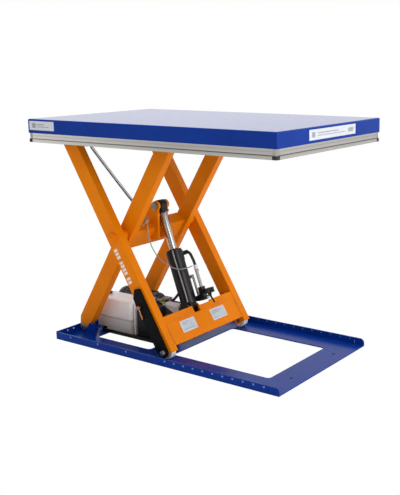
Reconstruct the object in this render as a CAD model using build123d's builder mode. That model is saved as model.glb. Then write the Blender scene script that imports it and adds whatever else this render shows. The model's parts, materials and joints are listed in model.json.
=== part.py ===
from build123d import *
import math
import os

os.makedirs("parts", exist_ok=True)

# ---------------------------------------------------------------- driving dimensions (mm)
PLAT_L, PLAT_W = 1300, 800          # platform outside size
RAISED, LOWERED = 1010, 190         # deck top height, raised and lowered
DECK_T, RIM_T, RIM_H = 5, 4, 61     # deck plate, rim sheet and rim height
BASE_X0, BASE_X1, BASE_Y = -599, 622, 347
PLATE_T, FLANGE_T, FLANGE_H, WALL_H = 5, 5, 33, 36
ROLLER_R, ROLLER_W = 31, 30
RAIL_T, CLEAR = 4, 0.3
ARM_ANGLE = 58.74                   # arm angle to the floor, raised
ARM_H, ARM_W, WALL = 70, 40, 3      # arm hollow section
OUT_Y, IN_Y = 245, 174              # inner faces of the outer and inner arms
X_FIX = -561.3                      # fixed pivots
FIT = 0.05                          # radial running fit
SAFE_Z0, SAFE_Z1 = 909, 954         # safety frame height range

Z_LOW = PLATE_T + ROLLER_R + CLEAR
Z_TOP = RAISED - DECK_T - RAIL_T - ROLLER_R - CLEAR
SN, CS = math.sin(math.radians(ARM_ANGLE)), math.cos(math.radians(ARM_ANGLE))
H = (Z_TOP - Z_LOW) / 2 / SN        # half arm length between pivots
MX, MZ = X_FIX + H * CS, (Z_LOW + Z_TOP) / 2


def A(d, n):
    """outer arm coordinates: d from the mid pivot down to the rollers, n up and right"""
    return (MX + d * CS + n * SN, MZ - d * SN + n * CS)


def B(d, n):
    """inner arm coordinates: d from the mid pivot up to the rollers, n up and left"""
    return (MX + d * CS - n * SN, MZ + d * SN + n * CS)


def at(y):
    """a plane facing -Y standing at y"""
    return Plane.XZ.offset(-y)


def tangent(px, pn, r, side):
    """touch point of the line from (px, pn) to a circle of radius r about (0, 0)"""
    dist = math.hypot(px, pn)
    base = math.atan2(pn, px)
    turn = math.acos(r / dist)
    a = base + side * turn
    return (r * math.cos(a), r * math.sin(a))


P_XZ = A(408, -21.5)                # cylinder foot pivot, on the outer arms
Q_XZ = B(104, 30)                   # rod eye pivot, on the inner arms
CYL = math.hypot(Q_XZ[0] - P_XZ[0], Q_XZ[1] - P_XZ[1])
UX, UZ = (Q_XZ[0] - P_XZ[0]) / CYL, (Q_XZ[1] - P_XZ[1]) / CYL


def C(s, v):
    """cylinder coordinates: s from foot to rod eye, v up and right"""
    return (P_XZ[0] + s * UX + v * UZ, P_XZ[1] + s * UZ - v * UX)


T_A, R_A, F_B, R_B = A(-H, 0), A(H, 0), B(-H, 0), B(H, 0)
print("half arm", round(H, 4), "mid pivot", round(MX, 4), MZ)
print("foot pivot", P_XZ, "rod pivot", Q_XZ, "pin to pin", round(CYL, 4))
for side_name, p in (("T_A", T_A), ("R_A", R_A), ("F_B", F_B), ("R_B", R_B)):
    print(side_name, [round(q, 4) for q in p])
# direction of the cylinder axis, for planes that stand across it
AXIS = Vector(UX, 0, UZ)


def cyl_plane(s, v=0, y=0):
    x, z = C(s, v)
    return Plane(origin=(x, y, z), x_dir=(0, 1, 0), z_dir=(UX, 0, UZ))


def done(obj, name):
    obj.part.label = name
    export_step(obj.part, "parts/" + name + ".step")


def route(points):
    """radii for a filleted route: 0.45 of the shorter run over tan of half the turn"""
    out = []
    for i in range(1, len(points) - 1):
        a, b, c = Vector(*points[i - 1]), Vector(*points[i]), Vector(*points[i + 1])
        p, q = b - a, c - b
        turn = math.radians(p.get_angle(q))
        out.append(0.45 * min(p.length, q.length) / math.tan(turn / 2))
    return out


# ================================================================ base
with BuildPart() as base_frame:
    # floor plate with two openings
    with BuildSketch(Plane.XY):
        with Locations(((BASE_X0 + BASE_X1) / 2, 0)):
            Rectangle(BASE_X1 - BASE_X0, 2 * BASE_Y)
        with BuildSketch(mode=Mode.SUBTRACT):
            with Locations(((-457 - 136) / 2, 0)):
                RectangleRounded(457 - 136, 458, 18)
        with BuildSketch(mode=Mode.SUBTRACT):
            with Locations(((493 - 11) / 2, 0)):
                RectangleRounded(504, 440, 15)
        with Locations((565, 170), (565, -170), (-540, 100), (-540, -100)):
            Circle(6.5, mode=Mode.SUBTRACT)
    extrude(amount=PLATE_T)
    # side flanges with rounded right ends and their row of holes
    for y1 in (BASE_Y, -BASE_Y + FLANGE_T):
        with BuildSketch(at(y1)):
            with BuildLine():
                Polyline((BASE_X0, 0), (BASE_X1, 0), (BASE_X1, FLANGE_H), (BASE_X0, FLANGE_H), close=True)
            make_face()
            fillet(vertices().group_by(Axis.X)[-1].group_by(Axis.Y)[-1], 20)
            with Locations(*[(53 + 50 * i, 24.5) for i in range(11)]):
                Circle(4, mode=Mode.SUBTRACT)
            with Locations((-505, 24.5), (-335, 24.5), (-165, 24.5)):
                Circle(4, mode=Mode.SUBTRACT)
            with Locations((575, 14)):
                Rectangle(3, 14, mode=Mode.SUBTRACT)
        extrude(amount=FLANGE_T)
    # left end wall
    with BuildSketch(Plane.YZ.offset(BASE_X0)):
        with Locations((0, WALL_H / 2)):
            Rectangle(2 * BASE_Y, WALL_H)
        with Locations((-279, 24), (-242, 24), (279, 24), (242, 24)):
            Circle(4, mode=Mode.SUBTRACT)
    extrude(amount=FLANGE_T)
    # bearing lugs of the lower fixed pivots, inboard of the inner arms
    for y1 in (-156, 170):
        with BuildSketch(at(y1)):
            with Locations(F_B):
                Circle(24)
            with BuildLine():
                Polyline((-593, 4), (-520, 4), (-538.2, 42), (-584, 44), close=True)
            make_face()
        extrude(amount=14)
    # arm guides outboard of the inner arms
    for y1 in (-222, 230):
        with BuildSketch(at(y1)):
            with BuildLine():
                Polyline((-540, 4), (-470, 4), (-475, 60), (-505, 60), close=True)
            make_face()
        extrude(amount=8)
    for y1 in (-156, 170):
        with BuildSketch(at(y1)):
            with Locations(F_B):
                Circle(12.5)
        extrude(amount=14, mode=Mode.SUBTRACT)
done(base_frame, "base_frame")

for name, sg in (("lower_pivot_pin_right", -1), ("lower_pivot_pin_left", 1)):
    with BuildPart() as pin:
        with BuildSketch(at(sg * 152)):
            with Locations(F_B):
                Circle(12.5)
        extrude(amount=-sg * 66)
        with BuildSketch(at(sg * 150)):
            with Locations(F_B):
                Circle(18)
        extrude(amount=-sg * 6)
        with BuildSketch(at(sg * 214.4)):
            with Locations(F_B):
                Circle(15.5)
        extrude(amount=-sg * 3)
        with BuildSketch(at(sg * 217)):
            with Locations(F_B):
                RegularPolygon(10, 6)
        extrude(amount=-sg * 6)
        with BuildSketch(at(sg * 170)):
            with Locations(F_B):
                Circle(19)
        extrude(amount=-sg * 3.6)
    done(pin, name)

# ---- power unit
with BuildPart() as power_unit_tray:
    with BuildSketch(Plane.XY.offset(PLATE_T)):
        with Locations((-300, 0)):
            RectangleRounded(400, 316, 8)
    extrude(amount=16)
    with BuildSketch(Plane.XY.offset(PLATE_T + 3)):
        with Locations((-300, 0)):
            RectangleRounded(394, 310, 5)
    extrude(amount=20, mode=Mode.SUBTRACT)
done(power_unit_tray, "power_unit_tray")

with BuildPart() as oil_tank:
    # body, overhanging the left edge of the tray
    with BuildSketch(Plane.XY.offset(24)):
        with Locations((-439, -78)):
            RectangleRounded(222, 114, 16)
    extrude(amount=140)
    fillet(oil_tank.faces().sort_by(Axis.Z)[-1].edges(), 9)
    # foot standing in the tray
    with BuildSketch(Plane.XY.offset(8)):
        with Locations((-412, -78)):
            RectangleRounded(168, 114, 16)
    extrude(amount=16)
    # moulded waist groove
    with BuildSketch(Plane.XY.offset(84)):
        with Locations((-439, -78)):
            RectangleRounded(226, 118, 16)
            RectangleRounded(218, 110, 15, mode=Mode.SUBTRACT)
    extrude(amount=5, mode=Mode.SUBTRACT)
    with BuildSketch(Plane.XY.offset(163)):
        with Locations((-520, -78)):
            Circle(14)
    extrude(amount=4)
done(oil_tank, "oil_tank")

with BuildPart() as filler_cap:
    with BuildSketch(Plane.XY.offset(167)):
        with Locations((-520, -78)):
            Circle(17)
            with PolarLocations(18, 12):
                Circle(2.4, mode=Mode.SUBTRACT)
    extrude(amount=8)
    with BuildSketch(Plane.XY.offset(175)):
        with Locations((-520, -78)):
            Circle(11)
    extrude(amount=3)
done(filler_cap, "filler_cap")

with BuildPart() as mounting_plate:
    with BuildSketch(Plane.YZ.offset(-322)):
        with Locations((-47, 81.5)):
            Rectangle(148, 147)
            with Locations((97, 30.5)):
                Circle(46, mode=Mode.SUBTRACT)
    extrude(amount=6)
done(mounting_plate, "mounting_plate")

with BuildPart() as control_box:
    with BuildSketch(Plane.XY.offset(8)):
        with Locations((-264, -68)):
            Rectangle(98, 88)
    extrude(amount=134)
    fillet(control_box.edges().filter_by(Axis.Z), 4)
    with BuildSketch(Plane.XZ.offset(112)):
        with Locations((-264, 78)):
            RectangleRounded(84, 112, 4)
    extrude(amount=2.5)
    with BuildSketch(Plane.XY.offset(142)):
        with Locations((-288, -90)):
            Circle(7)
        with Locations((-262, -90)):
            Circle(7)
    extrude(amount=9)
done(control_box, "control_box")

MOTOR_Y, MOTOR_Z = 50, 112
with BuildPart() as electric_motor:
    with BuildSketch(Plane.YZ.offset(-516)):
        with Locations((MOTOR_Y, MOTOR_Z)):
            Circle(56)
    extrude(amount=194)
    # cooling fins
    with BuildSketch(Plane.YZ.offset(-505)):
        with Locations((MOTOR_Y, MOTOR_Z)):
            with PolarLocations(57, 24):
                Rectangle(8, 3)
    extrude(amount=160)
    # drive end, through the mounting plate
    with BuildSketch(Plane.YZ.offset(-325)):
        with Locations((MOTOR_Y, MOTOR_Z)):
            Circle(45.9)
    extrude(amount=20)
    # feet
    with BuildSketch(Plane.XY.offset(8)):
        with Locations((-470, MOTOR_Y), (-380, MOTOR_Y)):
            Rectangle(24, 84)
    extrude(amount=62)
done(electric_motor, "electric_motor")

with BuildPart() as motor_fan_cover:
    with BuildSketch(Plane.YZ.offset(-516)):
        with Locations((MOTOR_Y, MOTOR_Z)):
            Circle(60)
    extrude(amount=-32)
    fillet(motor_fan_cover.faces().sort_by(Axis.X)[0].edges(), 20)
    with BuildSketch(Plane.YZ.offset(-549)):
        with Locations((MOTOR_Y, MOTOR_Z)):
            with PolarLocations(24, 12):
                Circle(3)
    extrude(amount=10, mode=Mode.SUBTRACT)
done(motor_fan_cover, "motor_fan_cover")

with BuildPart() as pump_block:
    with BuildSketch(Plane.YZ.offset(-305)):
        with Locations((MOTOR_Y, 108)):
            RectangleRounded(72, 84, 6)
    extrude(amount=40)
    with BuildSketch(Plane.YZ.offset(-265)):
        with Locations((MOTOR_Y - 8, 92)):
            Circle(16)
    extrude(amount=16)
    # outlet union
    with BuildSketch(Plane.YZ.offset(-265)):
        with Locations((55, 134)):
            RegularPolygon(11, 6)
    extrude(amount=10)
    with BuildSketch(Plane.YZ.offset(-255)):
        with Locations((55, 134)):
            Circle(8)
    extrude(amount=6)
    with BuildSketch(Plane.XY.offset(8)):
        with Locations((-285, MOTOR_Y)):
            Rectangle(30, 40)
    extrude(amount=60)
done(pump_block, "pump_block")

with BuildPart() as terminal_box:
    with BuildSketch(Plane.XY.offset(100)):
        with Locations((-189, 8)):
            RectangleRounded(100, 56, 5)
    extrude(amount=46)
    fillet(terminal_box.faces().sort_by(Axis.Z)[-1].edges(), 4)
    with BuildSketch(Plane.XY.offset(8)):
        with Locations((-189, 8)):
            Rectangle(26, 30)
    extrude(amount=94)
done(terminal_box, "terminal_box")

# pressure hose from the pump to the far rod lug
HOSE_D = 13
HOSE_PTS = [(-244.5, 55, 136.7), (-205, 55, 168), (-170, 54, 238), (-196, 53, 330), (-228, 51, 425),
            (-242, 50, 505), (-258, 50, 560)]
hose_r = route(HOSE_PTS)
print("hose radii", [round(r, 1) for r in hose_r])
with BuildPart() as pressure_hose:
    with BuildLine() as hose_line:
        FilletPolyline(*HOSE_PTS, radius=hose_r)
    with BuildSketch(Plane(origin=hose_line.line @ 0, z_dir=hose_line.line % 0)):
        Circle(HOSE_D / 2)
    sweep()
print("hose length", round(sum(e.length for e in hose_line.line.edges()), 1))
done(pressure_hose, "pressure_hose")

# ================================================================ scissor arms
NOSE = 18
ta1 = tangent(33, -35, NOSE, -1)     # outer arm, top end, lower-left edge
ta2 = tangent(60, 35, NOSE, 1)       # outer arm, top end, upper edge
tb1 = tangent(60, -35, NOSE, -1)
tb2 = tangent(33, 35, NOSE, 1)
HN = ARM_H / 2
A_PROFILE = [(-H + 60, HN), (H + 13, HN), (H + 13, -22), (H - 60, -HN), (-H + 33, -HN),
             (-H + ta1[0], ta1[1]), (-H + ta2[0], ta2[1])]
B_PROFILE = [(-H + 33, HN), (H - 60, HN), (H + 13, 22), (H + 13, -HN), (-H + 60, -HN),
             (-H + tb1[0], tb1[1]), (-H + tb2[0], tb2[1])]
CAV = [(-H + 72, HN - WALL), (H + 30, HN - WALL), (H + 30, -HN + WALL), (-H + 72, -HN + WALL)]


def arm(frame, profile, fixed, far, y1, y_out):
    """one hollow arm: y1 is its far (+Y) face"""
    with BuildPart() as a:
        with BuildSketch(at(y1)):
            with BuildLine():
                Polyline(*[frame(*p) for p in profile], close=True)
            make_face()
            with Locations(fixed):
                Circle(NOSE)
        extrude(amount=ARM_W)
        with BuildSketch(at(y1 - WALL)):
            with BuildLine():
                Polyline(*[frame(*p) for p in CAV], close=True)
            make_face()
        extrude(amount=ARM_W - 2 * WALL, mode=Mode.SUBTRACT)
        # mid bush through the hollow section
        with BuildSketch(at(y1)):
            with Locations((MX, MZ)):
                Circle(24)
        extrude(amount=ARM_W)
    return a


outer = {}
for name, y1 in (("outer_arm_right", -OUT_Y), ("outer_arm_left", OUT_Y + ARM_W)):
    blank = arm(A, A_PROFILE, T_A, R_A, y1, 0)
    with BuildPart() as piece:
        add(blank.part)
        with BuildSketch(at(y1 + 1)):
            with Locations(T_A):
                Circle(12.5 + FIT)
            with Locations((MX, MZ)):
                Circle(15 + FIT)
            with Locations(R_A):
                Circle(10)
        extrude(amount=ARM_W + 2, mode=Mode.SUBTRACT)
    done(piece, name)

for name, y1 in (("inner_arm_right", -IN_Y), ("inner_arm_left", IN_Y + ARM_W)):
    blank = arm(B, B_PROFILE, F_B, R_B, y1, 0)
    with BuildPart() as piece:
        add(blank.part)
        with BuildSketch(at(y1 + 1)):
            with Locations(F_B):
                Circle(12.5 + FIT)
            with Locations((MX, MZ)):
                Circle(15)
            with Locations(R_B):
                Circle(10)
        extrude(amount=ARM_W + 2, mode=Mode.SUBTRACT)
    done(piece, name)

# mid pivot pins, fixed in the inner arms and running in the outer arms
for name, sg in (("mid_pivot_pin_right", -1), ("mid_pivot_pin_left", 1)):
    with BuildPart() as pin:
        with BuildSketch(at(sg * IN_Y)):
            with Locations((MX, MZ)):
                Circle(15)
        extrude(amount=-sg * (OUT_Y + ARM_W - IN_Y + 4))
        with BuildSketch(at(sg * (IN_Y + ARM_W))):
            with Locations((MX, MZ)):
                Circle(25)
        extrude(amount=-sg * (OUT_Y - IN_Y - ARM_W - CLEAR))
        with BuildSketch(at(sg * (OUT_Y + ARM_W + CLEAR))):
            with Locations((MX, MZ)):
                Circle(23)
        extrude(amount=-sg * 5)
        with BuildSketch(at(sg * (OUT_Y + ARM_W + 5))):
            with Locations((MX, MZ)):
                Circle(17)
        extrude(amount=-sg * 4)
    done(pin, name)

# ---- inner crossbeam with the two rod lugs welded round it
BEAM_B = [(-75, -20), (20, -20), (20, 38), (-75, 38)]
BEAM_B_IN = [(-71, -16), (16, -16), (16, 34), (-71, 34)]
LUG_B = [(-236, 606), (-236, 461), (-290, 445), (-352, 470), (-335, 556), (-262, 626)]
with BuildPart() as inner_crossbeam:
    with BuildSketch(at(IN_Y)):
        with BuildLine():
            Polyline(*[B(*p) for p in BEAM_B], close=True)
        make_face()
        with BuildLine():
            Polyline(*[B(*p) for p in BEAM_B_IN], close=True)
        make_face(mode=Mode.SUBTRACT)
    extrude(amount=2 * IN_Y)
    for y1 in (-24, 36):
        with BuildSketch(at(y1)):
            with BuildLine():
                Polyline(*LUG_B, close=True)
            make_face()
            with Locations(Q_XZ):
                Circle(22)
            with BuildLine():
                Polyline(*[B(*p) for p in BEAM_B_IN], close=True)
            make_face(mode=Mode.SUBTRACT)
            with Locations(Q_XZ):
                Circle(12, mode=Mode.SUBTRACT)
        extrude(amount=12)
done(inner_crossbeam, "inner_crossbeam")

with BuildPart() as rod_pin_heads:
    for y1, y2 in ((-44, -36), (36, 44)):
        with BuildSketch(at(y2)):
            with Locations(Q_XZ):
                Circle(16)
        extrude(amount=8)
    # short spigots of the heads in the lugs
    for y1, y2 in ((-36, -25), (25, 36)):
        with BuildSketch(at(y2)):
            with Locations(Q_XZ):
                Circle(12)
        extrude(amount=11)
done(rod_pin_heads, "rod_pin_heads")

# ---- outer crossbeam with the cylinder foot lugs
BEAM_A = [(437, -25), (537, -25), (537, 35), (437, 35)]
BEAM_A_IN = [(441, -21), (533, -21), (533, 31), (441, 31)]
STRIP_A = [(405, 27), (437.5, 27), (437.5, 33), (405, 33)]
with BuildPart() as outer_crossbeam:
    with BuildSketch(at(OUT_Y)):
        with BuildLine():
            Polyline(*[A(*p) for p in BEAM_A], close=True)
        make_face()
        with BuildLine():
            Polyline(*[A(*p) for p in BEAM_A_IN], close=True)
        make_face(mode=Mode.SUBTRACT)
    extrude(amount=2 * OUT_Y)
    for y1, w in ((-45, OUT_Y - 45), (OUT_Y, OUT_Y - 80)):
        with BuildSketch(at(y1)):
            with BuildLine():
                Polyline(*[A(*p) for p in STRIP_A], close=True)
            make_face()
        extrude(amount=w)
    with BuildSketch(at(80)):
        with BuildLine():
            Polyline(A(412, 27), A(437.5, 27), A(437.5, 33), A(412, 33), close=True)
        make_face()
    extrude(amount=82)
    for y1 in (-24, 36):
        with BuildSketch(at(y1)):
            with Locations(P_XZ):
                Circle(24)
            with BuildLine():
                Polyline(A(402, 2), A(437.5, 20), A(437.5, -25), A(408, -45), close=True)
            make_face()
            with Locations(P_XZ):
                Circle(12, mode=Mode.SUBTRACT)
        extrude(amount=12)
done(outer_crossbeam, "outer_crossbeam")

with BuildPart() as foot_pin:
    with BuildSketch(at(38)):
        with Locations(P_XZ):
            Circle(12)
    extrude(amount=76)
    for y1 in (42, -36):
        with BuildSketch(at(y1)):
            with Locations(P_XZ):
                Circle(16)
        extrude(amount=6)
done(foot_pin, "foot_pin")

with BuildPart() as info_plates:
    for y1, w in ((-68, 100), (150, 104)):
        with BuildSketch(at(y1)):
            with BuildLine():
                Polyline(A(450, 35), A(503, 35), A(503, 36), A(450, 36), close=True)
            make_face()
        extrude(amount=w)
done(info_plates, "info_plates")

# ---- axles of the rollers
with BuildPart() as lower_axle_right:
    with BuildSketch(at(-OUT_Y)):
        with Locations(R_A):
            Circle(10)
    extrude(amount=66)
    with BuildSketch(at(-285)):
        with Locations(R_A):
            Circle(16)
    extrude(amount=2)
    with BuildSketch(at(-297.6)):
        with Locations(R_A):
            Circle(12.5)
    extrude(amount=5)
    with BuildSketch(at(-302)):
        with Locations(R_A):
            Circle(10)
    extrude(amount=9)
done(lower_axle_right, "lower_axle_right")
with BuildPart() as lower_axle_left:
    with BuildSketch(at(OUT_Y + ARM_W + 2)):
        with Locations(R_A):
            Circle(10)
    extrude(amount=ARM_W + 2)
    with BuildSketch(at(OUT_Y + ARM_W + 6)):
        with Locations(R_A):
            Circle(15)
    extrude(amount=6)
done(lower_axle_left, "lower_axle_left")
with BuildPart() as upper_axles:
    for y_far in (IN_Y + ARM_W, -IN_Y):
        with BuildSketch(at(y_far)):
            with Locations(R_B):
                Circle(10)
        extrude(amount=ARM_W)
    for y_far in (IN_Y + ARM_W + 5, -IN_Y - ARM_W):
        with BuildSketch(at(y_far)):
            with Locations(R_B):
                Circle(14)
        extrude(amount=5)
done(upper_axles, "upper_axles")

for name, centre, y_far in (("lower_roller_right", R_A, -OUT_Y - 5), ("lower_roller_left", R_A, OUT_Y + ARM_W - 5),
                            ("upper_roller_right", R_B, -IN_Y - 5), ("upper_roller_left", R_B, IN_Y + ARM_W - 5)):
    with BuildPart() as roller:
        with BuildSketch(at(y_far)):
            with Locations(centre):
                Circle(ROLLER_R)
                Circle(10 + FIT, mode=Mode.SUBTRACT)
        extrude(amount=ROLLER_W)
        fillet(roller.edges().filter_by(GeomType.CIRCLE).group_by(SortBy.RADIUS)[-1], 1.5)
        for y0 in (y_far, y_far - ROLLER_W + 3):
            with BuildSketch(at(y0)):
                with Locations(centre):
                    Circle(24)
                    Circle(15, mode=Mode.SUBTRACT)
            extrude(amount=3, mode=Mode.SUBTRACT)
    done(roller, name)

# ================================================================ maintenance prop
PROP_A = [(246, -1), (256, 24), (H, 21), (H + 17, 11), (H + 20, -8), (H + 12, -24), (H - 6, -31),
          (510, -32), (316, -33), (279, -30)]
with BuildPart() as maintenance_prop:
    with BuildSketch(at(-287.3)):
        with BuildLine():
            Polyline(*[A(*p) for p in PROP_A], close=True)
        make_face()
        with Locations(R_A):
            Circle(20)
            Circle(10 + FIT, mode=Mode.SUBTRACT)
        with Locations(A(326, -13)):
            Circle(4 + FIT, mode=Mode.SUBTRACT)
    extrude(amount=10)
done(maintenance_prop, "maintenance_prop")
with BuildPart() as prop_knob:
    with BuildSketch(at(-289)):
        with Locations(A(326, -13)):
            Circle(4)
    extrude(amount=20)
    with BuildSketch(at(-297.8)):
        with Locations(A(326, -13)):
            Circle(6)
    extrude(amount=5)
    with BuildSketch(at(-302)):
        with Locations(A(326, -13)):
            Circle(8.5)
    extrude(amount=12)
    fillet(prop_knob.faces().sort_by(Axis.Y)[0].edges(), 3)
done(prop_knob, "prop_knob")

# ================================================================ hydraulic cylinder
with BuildPart() as barrel:
    # foot eye
    with BuildSketch(at(22)):
        with Locations(P_XZ):
            Circle(24)
        with BuildLine():
            Polyline(C(0, 24), C(34, 24), C(34, -24), C(0, -24), close=True)
        make_face()
    extrude(amount=44)
    # cap, tube and head
    with BuildSketch(cyl_plane(28)):
        Circle(39)
    extrude(amount=16)
    with BuildSketch(cyl_plane(44)):
        Circle(37)
    extrude(amount=180)
    with BuildSketch(cyl_plane(222)):
        Circle(39)
    extrude(amount=50)
    # ports on the far side
    with BuildSketch(at(40)):
        with Locations(C(34, 20)):
            Circle(9)
        with Locations(C(252, 18)):
            Circle(8)
        with Locations(C(138, 12)):
            Circle(6)
    extrude(amount=18)
    # bore for the rod and its running clearance
    with BuildSketch(cyl_plane(46)):
        Circle(31)
    extrude(amount=194, mode=Mode.SUBTRACT)
    with BuildSketch(cyl_plane(230)):
        Circle(17 + FIT)
    extrude(amount=60, mode=Mode.SUBTRACT)
    with BuildSketch(at(30)):
        with Locations(P_XZ):
            Circle(12 + FIT)
    extrude(amount=60, mode=Mode.SUBTRACT)
done(barrel, "cylinder_tube")

with BuildPart() as gland_nut:
    with BuildSketch(cyl_plane(272)):
        Circle(35)
        with PolarLocations(35, 4, start_angle=45):
            Rectangle(8, 8, mode=Mode.SUBTRACT)
        Circle(17 + FIT, mode=Mode.SUBTRACT)
    extrude(amount=8)
done(gland_nut, "gland_nut")

with BuildPart() as piston_rod:
    with BuildSketch(cyl_plane(235)):
        Circle(17)
    extrude(amount=CYL - 24 - 235 - 12)
    with BuildSketch(cyl_plane(236)):
        Circle(30.5)
    extrude(amount=-14)
done(piston_rod, "piston_rod")

with BuildPart() as rod_eye:
    with BuildSketch(at(19)):
        with Locations(Q_XZ):
            Circle(24)
        with BuildLine():
            Polyline(C(CYL, 19), C(CYL - 36, 19), C(CYL - 36, -19), C(CYL, -19), close=True)
        make_face()
    extrude(amount=38)
    # pin stub carried in the eye
    with BuildSketch(at(23.6)):
        with Locations(Q_XZ):
            Circle(12)
    extrude(amount=47.2)
done(rod_eye, "rod_eye")

with BuildPart() as valve_block:
    # lower manifold beside the foot
    with BuildSketch(at(66)):
        with BuildLine():
            Polyline(C(22, 8), C(46, 8), C(46, 40), C(82, 42), C(82, 62), C(20, 62), C(20, 30), close=True)
        make_face()
    extrude(amount=26)
    # solenoid neck and coil, standing off the manifold
    with BuildSketch(Plane(origin=(C(58, 61)[0], 52, C(58, 61)[1]), x_dir=(0, 1, 0), z_dir=(UZ, 0, -UX))):
        Circle(11)
    extrude(amount=9)
    with BuildSketch(Plane(origin=(C(58, 69)[0], 52, C(58, 69)[1]), x_dir=(0, 1, 0), z_dir=(UZ, 0, -UX))):
        Circle(8)
    extrude(amount=14)
    with BuildSketch(at(65)):
        with BuildLine():
            Polyline(C(45, 82), C(69, 82), C(69, 112), C(45, 112), close=True)
        make_face()
    extrude(amount=26)
    # ears and pin of the lowering lever
    for y_far in (48.6, 58.4):
        with BuildSketch(at(y_far)):
            with Locations(C(38, 90)):
                Circle(6)
            with BuildLine():
                Polyline(C(46, 84), C(46, 96), C(38, 96), C(38, 84), close=True)
            make_face()
        extrude(amount=3)
    with BuildSketch(at(58)):
        with Locations(C(38, 90)):
            Circle(2.5)
    extrude(amount=12)
done(valve_block, "valve_block")

with BuildPart() as valve_lever:
    with BuildSketch(at(54)):
        with Locations(C(38, 90)):
            Circle(5)
        with BuildLine():
            Polyline(C(40, 94), C(-2, 107), C(-3, 102), C(38, 85), close=True)
        make_face()
        with Locations(C(38, 90)):
            Circle(2.5 + FIT, mode=Mode.SUBTRACT)
    extrude(amount=4)
done(valve_lever, "valve_lever")

def at_c(s, v, y):
    x, z = C(s, v)
    return (x, y, z)

# short hose from the head port down to the return line fitting
ELBOW_PTS = [at_c(258, 27, 51), at_c(242, 46, 51), at_c(206, 54, 51), at_c(174, 56, 51)]
elbow_r = [22, 60]
with BuildPart() as elbow_hose:
    with BuildLine() as elbow_line:
        FilletPolyline(*ELBOW_PTS, radius=elbow_r)
    with BuildSketch(Plane(origin=elbow_line.line @ 0, z_dir=elbow_line.line % 0)):
        Circle(6.5)
    sweep()
    # banjo on the head port
    with BuildSketch(at(58)):
        with Locations(C(252, 18)):
            Circle(10)
    extrude(amount=17.9)
done(elbow_hose, "elbow_hose")

with BuildPart() as return_tubes:
    with BuildSketch(cyl_plane(82, 54, 51)):
        Circle(7.5)
    extrude(amount=72)
    with BuildSketch(cyl_plane(152, 56, 51)):
        Circle(9)
    extrude(amount=20)
    with BuildSketch(cyl_plane(46, 24, 50)):
        Circle(5.5)
    extrude(amount=100)
    with BuildSketch(at(56)):
        with Locations(C(138, 18)):
            Circle(8)
    extrude(amount=15.9)
done(return_tubes, "return_tubes")

# ================================================================ cords on the arms
with BuildPart() as cord_bracket:
    with BuildSketch(at(-173)):
        with BuildLine():
            Polyline(A(-470, 0), A(-440, 0), A(-440, 4), A(-470, 4), close=True)
        make_face()
    extrude(amount=OUT_Y - 173)
    with BuildSketch(at(-173)):
        with Locations(A(-455, -8)):
            Circle(12)
            Circle(8.2, mode=Mode.SUBTRACT)
    extrude(amount=8)
done(cord_bracket, "cord_bracket")

def ab(frame, d, n, y):
    x, z = frame(d, n)
    return (x, y, z)

CORD_D = 16
CORD_PTS = [ab(A, -455, -8, -165), (-388, -134, 722), (-258, -101, 572)]
cord_r = route(CORD_PTS)
print("curly cord radii", [round(r, 1) for r in cord_r])
with BuildPart() as curly_cord:
    with BuildLine() as cord_line:
        FilletPolyline(*CORD_PTS, radius=cord_r)
    with BuildSketch(Plane(origin=cord_line.line @ 0, z_dir=cord_line.line % 0)):
        Circle(CORD_D / 2)
    sweep()
print("curly cord length", round(sum(e.length for e in cord_line.line.edges()), 1))
done(curly_cord, "curly_cord")

with BuildPart() as cable_clip:
    # post standing on the inner crossbeam, with the cord gland on top
    with BuildSketch(at(-92)):
        with BuildLine():
            Polyline(B(20, 2), B(52, 2), B(52, 6), B(20, 6), close=True)
        make_face()
    extrude(amount=16)
    with BuildSketch(at(-90)):
        with BuildLine():
            Polyline(B(44, -8), B(66, -8), B(66, 12), B(44, 12), close=True)
        make_face()
    extrude(amount=20)
done(cable_clip, "cable_clip")

WIRE_D = 5
WIRE_PTS = [(-244, -98, 536), (-243, -97, 482), (-227, -91, 426), (-193, -83, 378), (-153, -70, 350),
            (-110, -56, 334), (-77, -40, 341), (-69, -8, 344), (-89, 24, 339), (-110, 46, 330)]
wire_r = route(WIRE_PTS)
print("signal cable radii", [round(r, 1) for r in wire_r])
with BuildPart() as signal_cable:
    with BuildLine() as wire_line:
        FilletPolyline(*WIRE_PTS, radius=wire_r)
    with BuildSketch(Plane(origin=wire_line.line @ 0, z_dir=wire_line.line % 0)):
        Circle(WIRE_D / 2)
    sweep()
print("signal cable length", round(sum(e.length for e in wire_line.line.edges()), 1))
done(signal_cable, "signal_cable")

with BuildPart() as hose_end_fitting:
    with BuildSketch(at(60)):
        with Locations((-262, 572)):
            Circle(10.5)
    extrude(amount=24)
    with BuildSketch(at(66)):
        with Locations((-262, 572)):
            RegularPolygon(8, 6)
    extrude(amount=8)
done(hose_end_fitting, "hose_end_fitting")

# ================================================================ platform
HL, HW = PLAT_L / 2, PLAT_W / 2
with BuildPart() as platform_deck:
    with BuildSketch(Plane.XY.offset(RAISED - RIM_H)):
        Rectangle(PLAT_L, PLAT_W)
    extrude(amount=RIM_H)
    fillet(platform_deck.edges().filter_by(Axis.Z), 3)
    fillet(platform_deck.faces().sort_by(Axis.Z)[-1].edges(), 6)
    with BuildSketch(Plane.XY.offset(RAISED - RIM_H)):
        Rectangle(PLAT_L - 2 * RIM_T, PLAT_W - 2 * RIM_T)
    extrude(amount=RIM_H - DECK_T, mode=Mode.SUBTRACT)
    # shallow recesses for the two plates on the rim
    with BuildSketch(at(-HW + 0.4)):
        with Locations((-564, 982)):
            RectangleRounded(153, 39, 2)
    extrude(amount=0.4, mode=Mode.SUBTRACT)
    with BuildSketch(Plane.YZ.offset(HL - 0.4)):
        with Locations((0, 980)):
            RectangleRounded(361, 40, 2)
    extrude(amount=0.4, mode=Mode.SUBTRACT)
done(platform_deck, "platform_deck")

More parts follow.
